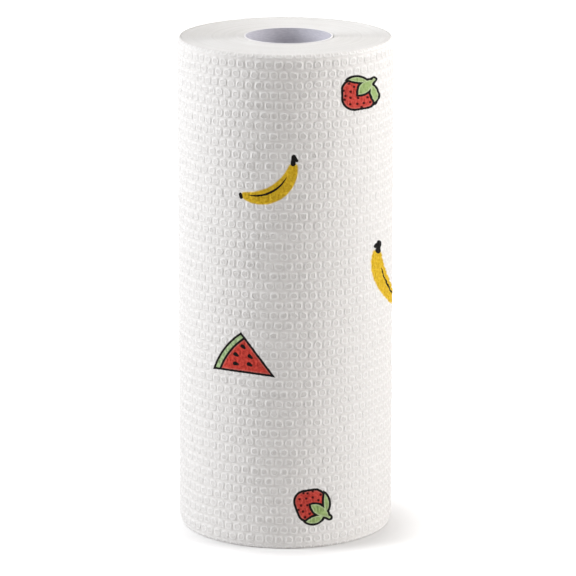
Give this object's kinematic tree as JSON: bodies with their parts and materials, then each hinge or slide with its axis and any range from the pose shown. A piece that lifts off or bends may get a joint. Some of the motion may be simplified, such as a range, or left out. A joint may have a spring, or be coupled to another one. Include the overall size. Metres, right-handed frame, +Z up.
{
  "type": "cleaning cloth roll",
  "caption": "Roll of white embossed cleaning cloth wound on a cardboard tube, standing on its end, with a through bore that slips over a holder's post.",
  "frame": {"origin": "middle of the roll's base", "axes": "+Z up along the roll, +X to the right and -Y towards the front"},
  "size_m": [0.1036, 0.104, 0.24],
  "materials": {
    "cardboard": "matt, spiral wound",
    "cloth": "matt, embossed"
  },
  "bodies": {
    "root": {"core_tube": "cardboard", "cloth_roll": "cloth"}
  },
  "joints": []
}
